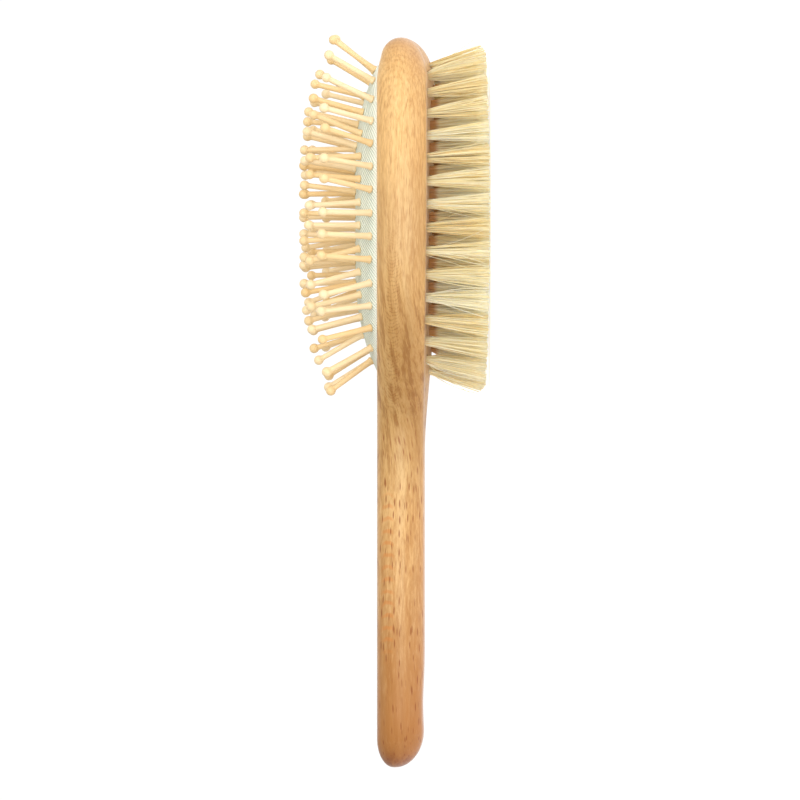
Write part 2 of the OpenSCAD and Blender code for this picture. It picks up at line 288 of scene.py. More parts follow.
def level_oval(a, b, z, n):
    """n points of a level oval round the middle of the cushion."""
    flat = oval(a, b, 360 * np.arange(n) / n)
    return np.column_stack([flat[:, 0] + CUSHION_X, flat[:, 1], np.full(n, z)])


def leaning_circle(root, turn, r, h, sides):
    """Points of a circle round a leaning axis, at height h along it."""
    angles = [2 * math.pi * j / sides for j in range(sides)]
    return [root + turn @ np.array([r * math.cos(a), r * math.sin(a), h]) for a in angles]


def lean_frame(lean, down=False):
    """Rotation that stands +Z along a direction that leans by two angles, as the CAD does."""
    d = Vector((math.tan(math.radians(lean[0])), math.tan(math.radians(lean[1])), -1 if down else 1))
    d.normalize()
    return np.array(
        Matrix.Rotation(math.atan2(d.y, d.x), 3, "Z") @ Matrix.Rotation(math.acos(d.z), 3, "Y"))


# ---------------------------------------------------------------- material helpers
class Nodes:
    """A small builder for a material's node tree."""

    def __init__(self, name):
        self.material = bpy.data.materials.new(name)
        self.material.use_nodes = True
        self.tree = self.material.node_tree
        self.shader = self.tree.nodes["Principled BSDF"]
        self.output = self.tree.nodes["Material Output"]

    def add(self, kind, **settings):
        made = self.tree.nodes.new(kind)
        for key, value in settings.items():
            setattr(made, key, value)
        return made

    def link(self, source, target):
        self.tree.links.new(source, target)

    def put(self, target, value):
        if isinstance(value, bpy.types.NodeSocket):
            self.link(value, target)
        else:
            target.default_value = value

    def place(self):
        return self.add("ShaderNodeTexCoord").outputs["Object"]

    def attribute(self, name, output="Fac"):
        return self.add("ShaderNodeAttribute", attribute_name=name).outputs[output]

    def parts(self, vector):
        """The x, y and z of a vector."""
        made = self.add("ShaderNodeSeparateXYZ")
        self.link(vector, made.inputs[0])
        return made.outputs

    def math(self, operation, a, b=None, c=None):
        made = self.add("ShaderNodeMath", operation=operation)
        for socket, value in zip(made.inputs, (a, b, c)):
            if value is not None:
                self.put(socket, value)
        return made.outputs[0]

    def times(self, first, *others):
        """The product of all the values."""
        for other in others:
            first = self.math("MULTIPLY", first, other)
        return first

    def scaled(self, vector, scale):
        made = self.add("ShaderNodeMapping")
        self.put(made.inputs["Vector"], vector)
        made.inputs["Scale"].default_value = scale
        return made.outputs[0]

    def noise(self, vector, scale=1.0, detail=3.0, rough=0.5, output="Fac"):
        made = self.add("ShaderNodeTexNoise")
        self.put(made.inputs["Vector"], vector)
        made.inputs["Scale"].default_value = scale
        made.inputs["Detail"].default_value = detail
        made.inputs["Roughness"].default_value = rough
        return made.outputs[output]

    def band(self, value, low, high, out_low=0.0, out_high=1.0):
        """Goes smoothly from out_low to out_high as the value goes from low to high."""
        made = self.add("ShaderNodeMapRange", interpolation_type="SMOOTHSTEP")
        self.put(made.inputs["Value"], value)
        ends = (("From Min", low), ("From Max", high), ("To Min", out_low), ("To Max", out_high))
        for key, number in ends:
            made.inputs[key].default_value = number
        return made.outputs[0]

    def window(self, value, rise, fall):
        """1 between two slopes, given as the pairs of values over which it rises and falls."""
        return self.times(self.band(value, *rise), self.band(value, *fall, 1.0, 0.0))

    def ramp(self, value, stops):
        made = self.add("ShaderNodeValToRGB")
        elements = made.color_ramp.elements
        while len(elements) < len(stops):
            elements.new(0.5)
        for element, (position, colour) in zip(elements, stops):
            element.position = position
            element.color = (*colour, 1)
        self.put(made.inputs[0], value)
        return made.outputs[0]

    def mix(self, share, a, b):
        made = self.add("ShaderNodeMix", data_type="RGBA")
        self.put(made.inputs[0], share)
        for socket, value in ((made.inputs[6], a), (made.inputs[7], b)):
            if isinstance(value, tuple):
                value = (*value, 1)
            self.put(socket, value)
        return made.outputs[2]

    def tinted(self, colour, tints):
        """The colour with each tint laid over it in turn, by its share."""
        for share, tint in tints:
            colour = self.mix(share, colour, rgb(*tint))
        return colour

    def bump(self, height, distance, strength):
        made = self.add("ShaderNodeBump")
        made.inputs["Strength"].default_value = strength
        made.inputs["Distance"].default_value = distance
        self.put(made.inputs["Height"], height)
        return made.outputs[0]

    def set(self, **values):
        for key, value in values.items():
            self.put(self.shader.inputs[key.replace("_", " ")], value)
        return self.material


def rgb(r, g, b):
    """Linear colour from the 0 to 255 values a screen shows."""
    def channel(v):
        v /= 255
        return v / 12.92 if v <= 0.04045 else ((v + 0.055) / 1.055) ** 2.4
    return channel(r), channel(g), channel(b)


# ---------------------------------------------------------------- materials
HEART_Z = 0.0291  # height of the pith in the neck, in metres
FAN = (-0.078, -0.012)  # the fibres fan out between these two places


def fanned_grain(m, p, x):
    """Where a point lies in the grain, as a vector and as its height from the pith alone.

    The grain wanders slowly along the brush, and its fibres fan out at the neck.
    """
    wander = m.noise(m.scaled(p, (13, 55, 55)), 1.0, 3.0, output="Color")
    sway = m.add("ShaderNodeVectorMath", operation="MULTIPLY_ADD")
    m.put(sway.inputs[0], wander)
    sway.inputs[1].default_value = (0, 0.0034, 0.0034)
    m.put(sway.inputs[2], p)
    swayed = m.parts(sway.outputs[0])
    from_heart = m.math("SUBTRACT", swayed[2], HEART_Z)
    squeezed = m.math("DIVIDE", from_heart, m.band(x, -0.075, -0.018, 1.55, 1.0))
    fanned = m.math("ADD", squeezed, m.band(x, *FAN, 0.0062, 0.0))
    joined = m.add("ShaderNodeCombineXYZ")
    for socket, value in zip(joined.inputs, (swayed[0], swayed[1], fanned)):
        m.put(socket, value)
    return joined.outputs[0], fanned


def late_wood(m, grain):
    """The dark edge of each growth ring. The pith runs nearly along X, beside the near flank."""
    turned = m.add("ShaderNodeMapping")
    m.put(turned.inputs["Vector"], grain)
    turned.inputs["Rotation"].default_value = (0, math.radians(1.5), math.radians(5.0))
    turned.inputs["Location"].default_value = (0, 0.0185, -0.001)
    rings = m.add("ShaderNodeTexWave", wave_type="RINGS", rings_direction="X", wave_profile="SAW")
    m.put(rings.inputs["Vector"], m.scaled(turned.outputs[0], (0.2, 1, 1)))
    for key, number in (("Scale", 170), ("Distortion", 4.5), ("Detail", 3), ("Detail Scale", 1.2)):
        rings.inputs[key].default_value = number
    ring = rings.outputs["Fac"]
    return m.times(m.math("POWER", ring, 1.6), m.band(ring, 0.82, 1.0, 1.0, 0.0))


def short_rays(m, grain, x):
    """Short dark spindles along the grain, fainter on the head."""
    cells = m.add("ShaderNodeTexVoronoi", feature="F1")
    m.put(cells.inputs["Vector"], m.scaled(grain, (210, 760, 2250)))
    cells.inputs["Scale"].default_value = 1
    chosen = m.add("ShaderNodeSeparateColor")
    m.link(cells.outputs["Color"], chosen.inputs[0])
    spot = m.band(cells.outputs["Distance"], 0.14, 0.38, 1.0, 0.0)
    return m.times(spot, m.band(chosen.outputs[0], 0.1, 0.7), m.band(x, -0.075, -0.045, 1.0, 0.35))


def ripples(m, x, z, height, bow, per_metre, jitter, low, strip):
    """Bowed lines across the grain at even steps along the brush, in a strip about one height."""
    off = m.math("SUBTRACT", z, height)
    bowed = m.math("MULTIPLY_ADD", m.math("MULTIPLY", off, off), bow, x)
    wave = m.math("SINE", m.math("MULTIPLY_ADD", bowed, per_metre, jitter))
    return m.times(m.band(wave, low, 0.95), m.band(m.math("ABSOLUTE", off), *strip, 1.0, 0.0))


def beech():
    """Lacquered beech: growth rings, fine fibre, short dark rays, and a dark rippled figure on the neck.

    x is the distance from the middle of the cushion, negative towards the handle. It and z are in
    metres, so each pair of small numbers says where on the brush an effect begins and is whole.
    """
    m = Nodes("beech")
    p = m.place()
    place = m.parts(p)
    x, z = m.math("SUBTRACT", place[0], CUSHION_X * MM), place[2]
    grain, fanned = fanned_grain(m, p, x)
    # fibres, long and thin, at three sizes
    fibre = m.noise(m.scaled(grain, (230, 900, 2600)), 1.0, 4.0, 0.7)
    streak = m.noise(m.scaled(grain, (40, 200, 760)), 1.0, 5.0, 0.7)
    broad = m.noise(m.scaled(grain, (9, 45, 230)), 1.0, 3.0, 0.6)
    rays = short_rays(m, grain, x)
    # the figure of the neck: a dark patch that dies out towards the handle, crossed by fine ripples
    reach = m.window(x, (-0.096, -0.054), (-0.036, -0.006))
    aside = m.math("ABSOLUTE", m.math("ADD", fanned, m.band(x, *FAN, -0.0050, 0.0)))
    figure = m.times(reach, m.band(aside, 0.0016, 0.0075, 1.0, 0.35))
    dark_line = m.times(m.band(streak, 0.50, 0.60), reach)
    jitter = m.noise(m.scaled(p, (260, 500, 500)), 1.0, 2.0)
    ripple = m.times(
        ripples(m, x, z, HEART_Z, -300.0, 5700.0, m.times(jitter, 16.0), 0.1, (0.0010, 0.0034)),
        m.window(x, (-0.066, -0.050), (-0.030, 0.006)), m.band(fibre, 0.35, 0.6))
    # wider orange ripples on the handle
    glow = m.times(
        ripples(m, x, z, 0.0305, 280.0, 1745.0, m.times(jitter, 3.0), 0.2, (0.0008, 0.0026)),
        m.window(x, (-0.136, -0.122), (-0.088, -0.078)), m.band(broad, 0.42, 0.58))
    # end grain drinks more lacquer where the surface turns across the fibres
    normal = m.parts(m.add("ShaderNodeTexCoord").outputs["Normal"])
    end_grain = m.band(m.math("ABSOLUTE", normal[0]), 0.35, 0.95)
    # painted shade: the flanks are darker towards the bristle side
    shade_on_bristle_side = m.band(z, 0.0215, 0.0275, 1.0, 0.0)
    # painted shade: the head is dimmed little by little towards the figure of the neck
    painted_neck_shade = m.window(x, (-0.024, -0.008), (-0.004, 0.024))
    # the handle grows darker towards its butt, and its end is worn
    darker_to_butt = m.band(x, -0.172, -0.055, 1.0, 0.0)
    worn = m.times(m.band(x, -0.1655, -0.158, 1.0, 0.0), m.band(streak, 0.42, 0.62, 0.25, 0.75))

    tone = m.math("MULTIPLY_ADD", streak, 0.62, m.times(broad, 0.38))
    # the head is plainer than the handle
    contrast = m.band(x, -0.030, 0.004, 1.0, 0.62)
    tone = m.math("MULTIPLY_ADD", m.math("SUBTRACT", tone, 0.5), contrast, 0.49)
    colour = m.ramp(
        tone, [(0.35, rgb(238, 201, 140)), (0.5, rgb(225, 181, 117)), (0.65, rgb(198, 150, 88))])
    colour = m.tinted(colour, [
        (m.times(shade_on_bristle_side, 0.40), (178, 128, 74)),
        (m.times(painted_neck_shade, 0.34), (170, 135, 92)),
        (m.times(darker_to_butt, 0.86), (158, 90, 24)),
        (m.times(late_wood(m, grain), 0.22), (150, 98, 50)),
        (m.times(m.band(fibre, 0.46, 0.66), 0.44), (172, 116, 58)),
        (m.times(m.band(fibre, 0.50, 0.34), m.band(x, -0.150, -0.110, 0.05, 0.22)), (246, 206, 148)),
        (m.times(figure, 0.64), (146, 100, 38)),
        (m.times(dark_line, 0.5), (128, 78, 28)),
        (m.times(ripple, 0.42), (120, 74, 30)),
        (m.times(glow, 0.44), (206, 122, 52)),
        (m.times(rays, 0.78), (138, 72, 26)),
        (m.times(end_grain, 0.35), (176, 108, 52)),
        (worn, (122, 58, 24)),
    ])
    height = m.math("MULTIPLY_ADD", fibre, 0.5, m.times(rays, -0.7))
    return m.set(
        Base_Color=colour,
        Roughness=m.band(m.math("MULTIPLY_ADD", rays, 0.5, fibre), 0.2, 1.2, 0.46, 0.6),
        Normal=m.bump(height, 0.00006, 0.5),
        Specular_IOR_Level=0.25, Coat_Weight=0.18, Coat_Roughness=0.4,
        Sheen_Weight=0.24, Sheen_Roughness=0.35)


def pin_wood():
    """Pale turned wood, each pin of its own tone."""
    m = Nodes("pin_wood")
    p = m.place()
    tone = m.attribute("tone")
    along = m.noise(m.scaled(p, (900, 900, 120)), 1.0, 3.0, 0.6)
    colour = m.ramp(tone, [(0.0, rgb(243, 220, 178)), (0.6, rgb(240, 212, 162)), (1.0, rgb(234, 199, 141))])
    colour = m.tinted(colour, [(m.times(m.band(along, 0.45, 0.75), 0.25), (228, 188, 130))])
    turned = m.noise(m.scaled(p, (80, 80, 1400)), 1.0, 2.0)
    height = m.math("MULTIPLY_ADD", along, 0.6, m.times(turned, 0.5))
    return m.set(Base_Color=colour, Roughness=m.band(along, 0.3, 0.8, 0.38, 0.56),
                 Normal=m.bump(height, 0.00004, 0.5), Specular_IOR_Level=0.4)


def canvas():
    """Off-white twill: slanting ribs of yarn with a faint green cast in their valleys."""
    m = Nodes("canvas")
    cloth = m.attribute("cloth", "Vector")
    x, v, above_rim = m.parts(cloth)
    rib_pitch, yarn_pitch = 0.84, 0.62
    rib_turn, yarn_turn = (2 * math.pi / pitch / math.sqrt(2) for pitch in (rib_pitch, yarn_pitch))
    drift = m.noise(cloth, 0.35, 2.0)
    rib_at = m.math("MULTIPLY_ADD", drift, 1.6, m.times(m.math("SUBTRACT", x, v), rib_turn))
    rib = m.math("MULTIPLY_ADD", m.math("SINE", rib_at), 0.5, 0.5)
    yarn_at = m.math("ADD", m.times(m.math("ADD", x, v), yarn_turn), m.times(rib_at, 0.5))
    yarn = m.math("MULTIPLY_ADD", m.math("SINE", yarn_at), 0.5, 0.5)
    weave = m.times(m.math("POWER", rib, 0.7), m.math("MULTIPLY_ADD", yarn, 0.45, 0.55))
    fuzz = m.noise(cloth, 3.5, 3.0, 0.6)
    soil = m.noise(cloth, 0.12, 2.0)
    hem = m.times(m.band(above_rim, 0.3, 1.7, 0.8, 0.0), m.math("MULTIPLY_ADD", yarn, 0.6, 0.4))
    colour = m.ramp(
        weave, [(0.0, rgb(158, 182, 160)), (0.3, rgb(216, 228, 208)), (0.7, rgb(246, 250, 238))])
    colour = m.tinted(colour, [
        (m.times(m.band(fuzz, 0.5, 0.8), 0.25), (255, 255, 250)),
        (m.times(m.band(soil, 0.45, 0.7), 0.25), (238, 238, 214)),
        (hem, (252, 252, 238)),
    ])
    height = m.math("MULTIPLY_ADD", fuzz, 0.25, weave)
    return m.set(Base_Color=colour, Roughness=0.85, Normal=m.bump(height, 0.00022, 0.9),
                 Sheen_Weight=0.25, Specular_IOR_Level=0.2)


def rubber():
    """Dull tan rubber, a little cloudy."""
    m = Nodes("rubber")
    p = m.place()
    grain = m.noise(p, 900, 4.0, 0.6)
    cloud = m.noise(p, 60, 2.0)
    colour = m.ramp(cloud, [(0.3, rgb(188, 150, 104)), (0.7, rgb(160, 122, 80))])
    return m.set(Base_Color=colour, Roughness=m.band(grain, 0.3, 0.7, 0.65, 0.8),
                 Normal=m.bump(grain, 0.00005, 0.6))


def bristle():
    """Pale straw fibres: each has its own tone, with painted shade near the roots: slight on every fibre,
    and dark, reddish and warm on the inner tufts where they leave the wood.
    """
    m = Nodes("bristle")
    tone, along, root_shade = m.attribute("tone"), m.attribute("along"), m.attribute("root_shade")
    fleck = m.noise(m.scaled(m.place(), (1500, 1500, 220)), 1.0, 2.0)
    colour = m.ramp(
        tone, [(0.0, rgb(255, 250, 222)), (0.45, rgb(255, 240, 190)), (1.0, rgb(226, 188, 124))])
    colour = m.tinted(colour, [
        (m.times(m.band(fleck, 0.45, 0.8), 0.1), (236, 200, 130)),
        # painted shade: every fibre is a little darker near its root
        (m.band(along, 0.0, 0.10, 0.25, 0.0), (206, 152, 90)),
        # painted shade: the inner tufts are dark and reddish where they leave the wood
        (m.times(m.band(along, 0.06, 0.18, 0.8, 0.0), root_shade), (190, 104, 42)),
        # painted warm shade, as of light bounced between the fibres, over the lower half of the inner tufts
        (m.times(m.band(along, 0.1, 0.6, 0.2, 0.0), root_shade), (240, 196, 120)),
    ])
    return m.set(Base_Color=colour, Roughness=m.band(fleck, 0.3, 0.7, 0.42, 0.58),
                 Normal=m.bump(fleck, 0.00004, 0.5), Specular_IOR_Level=0.4,
                 Subsurface_Weight=0.3, Subsurface_Scale=0.0005, Subsurface_Radius=(1.0, 0.75, 0.4))


def staple_wire():
    """Drawn steel wire with fine lines along it."""
    m = Nodes("staple_wire")
    drawn = m.noise(m.scaled(m.place(), (200, 2500, 2500)), 1.0, 3.0)
    colour = m.ramp(drawn, [(0.3, rgb(206, 204, 198)), (0.7, rgb(166, 162, 154))])
    return m.set(Base_Color=colour, Metallic=1.0, Roughness=m.band(drawn, 0.3, 0.7, 0.28, 0.45),
                 Normal=m.bump(drawn, 0.00003, 0.5))


BEECH, PIN_WOOD, CANVAS = beech(), pin_wood(), canvas()
RUBBER, BRISTLE, STAPLE = rubber(), bristle(), staple_wire()


# ---------------------------------------------------------------- wooden body
def half_section(u):
    """Right half of a section, from the middle of the pin side to the middle of the bristle side."""
    face_steps, corner_steps, side_steps = 12, 12, 5
    w, zt, zb, rt, rb = half_w(u), z_top(u), z_bottom(u), round_top(u), round_bottom(u)
    points = [((w - rt) * i / face_steps, zt) for i in range(face_steps)]
    for i in range(corner_steps + 1):
        a = math.radians(90 - 90 * i / corner_steps)
        points.append((w - rt + rt * math.cos(a), zt - rt + rt * math.sin(a)))
    for i in range(1, side_steps):
        points.append((w, zt - rt + (zb + rb - zt + rt) * i / side_steps))
    for i in range(corner_steps + 1):
        a = math.radians(-90 * i / corner_steps)
        points.append((w - rb + rb * math.cos(a), zb + rb + rb * math.sin(a)))
    for i in range(1, face_steps + 1):
        q = 1 - i / face_steps
        points.append(((w - rb) * q, zb - bulge(u) * crown_at(q)))
    return [(y * swell(u, z), z) for y, z in points]


def tuft_sets():
    """The points of each set of tufts, by the name of the set."""
    sets = {}
    for name, (k, count) in TUFT_RINGS.items():
        points = spaced(TUFTS_A - k * TUFT_RING_GAP, TUFTS_B - k * TUFT_RING_GAP, count)
        if name == "outer":
            bearing = np.arange(count) % BEARING_EVERY == 1
            sets["tufts_bearing"] = points[bearing]
            points = points[~bearing]
        sets[f"tufts_{name}_left"] = points[points[:, 1] > 0]
        sets[f"tufts_{name}_right"] = points[points[:, 1] < 0]
    sets["tufts_centre_row"] = row(CENTRE_TUFTS, TUFT_ROW_PITCH)
    return sets


def tuft_lean(p):
    r = p[0] / TUFTS_A
    return TUFT_LEAN_ENDS * (0.4 * r + 0.6 * r ** 3), TUFT_LEAN_SIDES * p[1] / TUFTS_B


def body_cutter():
    """The recess with its undercut groove, and every drilled tuft hole."""
    n, hole_sides = 160, 20
    groove_top, past_face = GROOVE_Z + GROOVE_H, 3.0
    chamfer, chamfer_z, clear_z = 0.3, RIM_Z - 0.25, TOP_Z + 2
    profile = ((0, RECESS_FLOOR_Z), (0, GROOVE_Z), (GROOVE_DEPTH, GROOVE_Z), (GROOVE_DEPTH, groove_top),
               (0, groove_top), (0, chamfer_z), (chamfer, TOP_Z + 0.05), (chamfer, clear_z))
    rings = [level_oval(PAD_A + SEAT_GAP + out, PAD_B + SEAT_GAP + out, z, n) for out, z in profile]
    points = list(np.concatenate(rings))
    faces = tube_faces(len(rings), n)
    for group in tuft_sets().values():
        for p in group:
            turn = lean_frame(tuft_lean(p), down=True)
            root = np.array([CUSHION_X + p[0], p[1], face_z(CUSHION_X + p[0], p[1])])
            faces += tube_faces(2, hole_sides, len(points))
            points += leaning_circle(root, turn, TUFT_HOLE_R, -TUFT_HOLE_L, hole_sides)
            points += leaning_circle(root, turn, TUFT_HOLE_R, past_face, hole_sides)
    return new_piece("cutter", points, faces, BEECH, body=None)


def make_body():
    stations = 190
    margin = 0.03  # the loft stops just short of both ends, where the outline has no width
    rings = []
    for i in range(stations + 1):
        u = margin + (BODY_L - 2 * margin) * (1 - math.cos(math.pi * i / stations)) / 2
        half = half_section(u)
        whole = half + [(-y, z) for y, z in half[-2:0:-1]]
        rings.append([(BODY_L / 2 - u, y, z) for y, z in whole])
    n = len(rings[0])
    points = [p for r in rings for p in r]
    body = new_piece("beech_body", points, tube_faces(len(rings), n), BEECH)
    fix_normals(body)
    cutter = body_cutter()
    fix_normals(cutter)
    cut = body.modifiers.new("cut", "BOOLEAN")
    cut.operation, cut.solver, cut.object = "DIFFERENCE", "EXACT", cutter
    apply_modifiers(body)
    bpy.data.objects.remove(cutter)
    body.data.set_sharp_from_angle(angle=math.radians(40))
    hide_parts("wood_body")


def fix_normals(piece):
    bm = bmesh.new()
    bm.from_mesh(piece.data)
    bmesh.ops.recalc_face_normals(bm, faces=bm.faces)
    bm.to_mesh(piece.data)
    bm.free()


def apply_modifiers(piece):
    bpy.context.view_layer.update()
    graph = bpy.context.evaluated_depsgraph_get()
    made = bpy.data.meshes.new_from_object(piece.evaluated_get(graph))
    piece.modifiers.clear()
    piece.data = made
    for poly in made.polygons:
        poly.use_smooth = True


# ---------------------------------------------------------------- cushion
def share_at(p):
    """Share of the way out of the dome's level oval through point p, by halving."""
    low, high = 0.02, 1.0
    for _ in range(14):
        s = (low + high) / 2
        if (abs(p[0]) / ring_a(PAD_A, PAD_B, s)) ** OVAL_N + (abs(p[1]) / (PAD_B * s)) ** OVAL_N > 1:
            low = s
        else:
            high = s
    return (low + high) / 2


def dome_z(p):
    """Height of the dome over point p."""
    return RIM_Z + DOME_H * dome_rise(share_at(p))


def pin_z(p):
    """Height of the middle of a pin's foot, so that its edge clears the slope of the canvas."""
    probe = 0.3
    sx = (dome_z((p[0] + probe, p[1])) - dome_z((p[0] - probe, p[1]))) / (2 * probe)
    sy = (dome_z((p[0], p[1] + probe)) - dome_z((p[0], p[1] - probe))) / (2 * probe)
    up = np.array([-sx, -sy, 1])
    axis = lean_frame(pin_lean(p))[:, 2]
    tilt = math.acos(min(1, up @ axis / np.linalg.norm(up)))
    reach = max(0, FOOT_R * math.sin(tilt) - FOOT_EDGE * math.cos(tilt))
    return dome_z(p) + (FOOT_GAP + reach) * np.linalg.norm(up)


def sway_x(p):
    """Unevenness of the pins' leans, in degrees, smooth over the field.

    Its constants were searched for, so that the near pins lean much as in the photograph.
    """
    return (-5.1 * math.sin(math.radians(20.33 * p[0] + 93.94 * p[1] + 6))
            - 7 * math.sin(math.radians(49.98 * p[0] + 118.27 * p[1] + 131)))


def sway_y(p):
    return 2.5 * math.sin(math.radians(97.3 * p[0] + 61.7 * p[1] + 286))


def pin_lean(p):
    r, q = (p[0] - PINS_SHIFT) / RINGS["outer"][0], abs(p[1]) / RINGS["outer"][1]
    return (PIN_LEAN_ENDS * (0.62 * r + 0.38 * r ** 5) + sway_x(p),
            np.sign(p[1]) * PIN_LEAN_SIDES * q ** 1.6 + sway_y(p))


def pin_sets():
    """The points of each set of pins, by the name of the set."""
    sets = {}
    for name, (a, b, count) in RINGS.items():
        points = spaced(a, b, count) + [PINS_SHIFT, 0]
        sets[f"pins_{name}_left"] = points[points[:, 1] > 0]
        sets[f"pins_{name}_right"] = points[points[:, 1] < 0]
    sets["pins_centre_row"] = row(CENTRE_PINS, PIN_ROW_PITCH) + [PINS_SHIFT, 0]
    return sets


def dome_shell(inset, height, steps, n):
    """Rings of a dome from its rim up: the share of the way out and the points of each."""
    a, b = PAD_A - inset, PAD_B - inset
    shares = [1 - (1 - CAP_S) * i / steps for i in range(steps + 1)]
    return [(s, level_oval(ring_a(a, b, s), b * s, RIM_Z + height * dome_rise(s), n)) for s in shares]


def cap_faces(first, n):
    """Closes a narrow ring of an oval by strips from side to side."""
    faces = []
    for j in range(n // 2):
        a, b, c, d = j, j + 1, (n - j - 1) % n, (n - j) % n
        faces.append(tuple(first + k for k in dict.fromkeys((a, b, c, d))))
    return [f for f in faces if len(f) > 2]


def pucker(points):
    """Lifts the cloth up to the foot of each pin, and draws it in around that."""
    lift_r, lift_extra = 1.55, 0.12
    dip_r, dip_spread, dip_depth = 2.7, 0.9, 0.10
    points = points.copy()
    for places in pin_sets().values():
        for p in places:
            d2 = (points[:, 0] - CUSHION_X - p[0]) ** 2 + (points[:, 1] - p[1]) ** 2
            near = np.exp(-d2 / lift_r ** 2)
            ring = np.exp(-((np.sqrt(d2) - dip_r) ** 2) / dip_spread)
            points[:, 2] += (pin_z(p) - dome_z(p) + lift_extra) * near - dip_depth * ring
    return points


def make_canvas():
    n = 320
    thinner = 0.1  # the cloth's back stays this far off the rubber
    outer = dome_shell(0.0, DOME_H, 64, n)
    inner = dome_shell(CANVAS_T - thinner, DOME_H - CANVAS_T + thinner, 14, n)
    # the tuck into the recess: how far in from the pad's outline, and how far below the rim
    tuck = ((CANVAS_T - thinner, 2), (0.0, 2), (-0.08, 1.0), (-0.06, 0.4))
    skirt = [level_oval(PAD_A - inset, PAD_B - inset, RIM_Z - below, n) for inset, below in tuck]
    rings = [r for _, r in inner[::-1]] + skirt + [pucker(r) for _, r in outer]
    shares = [s for s, _ in inner[::-1]] + [1.0] * len(skirt) + [s for s, _ in outer]
    points = np.concatenate(rings)
    last = (len(rings) - 1) * n
    faces = ring_faces(len(rings), n) + cap_faces(0, n) + cap_faces(last, n)
    piece = new_piece("canvas_cover", points, faces, CANVAS)
    fix_normals(piece)
    # where each point lies on the cloth laid flat, in millimetres from its middle, and its height
    # above the rim
    grid = np.linspace(0, 1, 200)
    slope = np.sqrt(PAD_B ** 2 + (DOME_H * DOME_POWER * grid ** (DOME_POWER - 1)) ** 2)
    run = np.concatenate([[0], np.cumsum((slope[1:] + slope[:-1]) / 2 * np.diff(grid))])
    share = np.repeat(shares, n)
    stretch = np.interp(share, grid, run) / np.maximum(PAD_B * share, 0.5)
    add_vector(piece, "cloth", np.column_stack(
        [points[:, 0] - CUSHION_X, points[:, 1] * stretch, points[:, 2] - RIM_Z]))
    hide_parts("cushion_canvas")
    return piece


def make_rubber():
    n = 120
    outer_inset, inner_inset = CANVAS_T + SLIP, CANVAS_T + RUBBER_INSET
    outer = dome_shell(outer_inset, DOME_H - CANVAS_T - SLIP, 16, n)
    inner = dome_shell(inner_inset, DOME_H - CANVAS_T - SLIP - RUBBER_T, 16, n)
    rings = [r for _, r in inner[::-1]] + [r for _, r in outer]
    last = (len(rings) - 1) * n
    faces = ring_faces(len(rings), n) + cap_faces(0, n) + cap_faces(last, n)
    dome = new_piece("rubber_dome", np.concatenate(rings), faces, RUBBER)
    fix_normals(dome)
    # the skirt and its bead in section: how far in from the pad's outline, and at what height
    bead_bottom, bead_top, skirt_top = GROOVE_Z + SLIP, GROOVE_Z + GROOVE_H - SLIP, RIM_Z - SKIRT_DROP
    section = ((inner_inset, skirt_top), (inner_inset, bead_bottom), (-1.0, bead_bottom),
               (-1.2, GROOVE_Z + 0.4), (-1.2, bead_top - 0.35), (-1.0, bead_top),
               (outer_inset, bead_top), (outer_inset, skirt_top))
    loops = [level_oval(PAD_A - inset, PAD_B - inset, z, n) for inset, z in section]
    faces = []
    for i in range(len(loops)):
        here, beyond = i * n, (i + 1) % len(loops) * n
        faces += [(here + j, here + (j + 1) % n, beyond + (j + 1) % n, beyond + j) for j in range(n)]
    skirt = new_piece("rubber_skirt", np.concatenate(loops), faces, RUBBER)
    fix_normals(skirt)
    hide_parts("cushion_rubber")
    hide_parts("cushion_rubber")
    return dome


# ---------------------------------------------------------------- pins
def pin_profile(rng):
    """Radius against height of one turned pin: inner head, neck, flared foot, shaft and ball."""
    thick = SHAFT_R * rng.uniform(0.93, 1.0)
    ball = BALL_R * rng.uniform(0.95, 1.0)
    foot = FOOT_R * rng.uniform(0.94, 1.0)
    centre = PIN_L - BALL_R
    shaft_steps, ball_steps = 11, 15
    profile = [(0.0, -3.15), (0.85, -3.15), (PIN_HEAD_R, -3.0), (PIN_HEAD_R, -2.6), (0.9, -2.42),
               (PIN_NECK_R, -2.35), (PIN_NECK_R, -0.05),
               (foot * 0.86, 0.0), (foot * 0.98, 0.12), (foot, 0.32), (foot * 0.95, 0.62),
               (foot * 0.84, 0.95)]
    for k in range(1, shaft_steps + 1):
        h = 1.2 + (centre - 2.9) * k / shaft_steps
        taper = 1.05 - 0.10 * k / shaft_steps + 0.12 * math.exp(-k / 1.3)
        profile.append((thick * taper * rng.uniform(0.985, 1.015), h))
    join = math.asin(thick * 0.95 / ball)
    profile.append((thick, centre - ball * math.cos(join) - 0.12))
    for k in range(1, ball_steps):
        a = math.pi - join - (math.pi - join) * k / ball_steps
        profile.append((ball * math.sin(a), centre + ball * math.cos(a)))
    profile.append((0.0, centre + ball))
    return profile


def make_pins():
    sides = 20
    for name, places in pin_sets().items():
        points, faces, tones = [], [], []
        for p in places:
            rng = random.Random(round(p[0] * 31 + p[1] * 17, 2))
            turn = lean_frame(pin_lean(p))
            root = np.array([CUSHION_X + p[0], p[1], pin_z(p)])
            profile = pin_profile(rng)
            first = len(points)
            points.append(root + turn @ np.array([0, 0, profile[0][1]]))
            for r, h in profile[1:-1]:
                points += leaning_circle(root, turn, r, h, sides)
            points.append(root + turn @ np.array([0, 0, profile[-1][1]]))
            rings = len(profile) - 2
            faces += ring_faces(rings, sides, first + 1)
            top = first + 1 + (rings - 1) * sides
            faces += [(first, first + 1 + (j + 1) % sides, first + 1 + j) for j in range(sides)]
            faces += [(top + sides, top + j, top + (j + 1) % sides) for j in range(sides)]
            tones += [rng.random() ** 1.3] * (len(points) - first)
        piece = new_piece(name.replace("pins", "wooden_pins"), points, faces, PIN_WOOD, body=name)
        add_float(piece, "tone", tones)
        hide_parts(name)


# ---------------------------------------------------------------- tufts

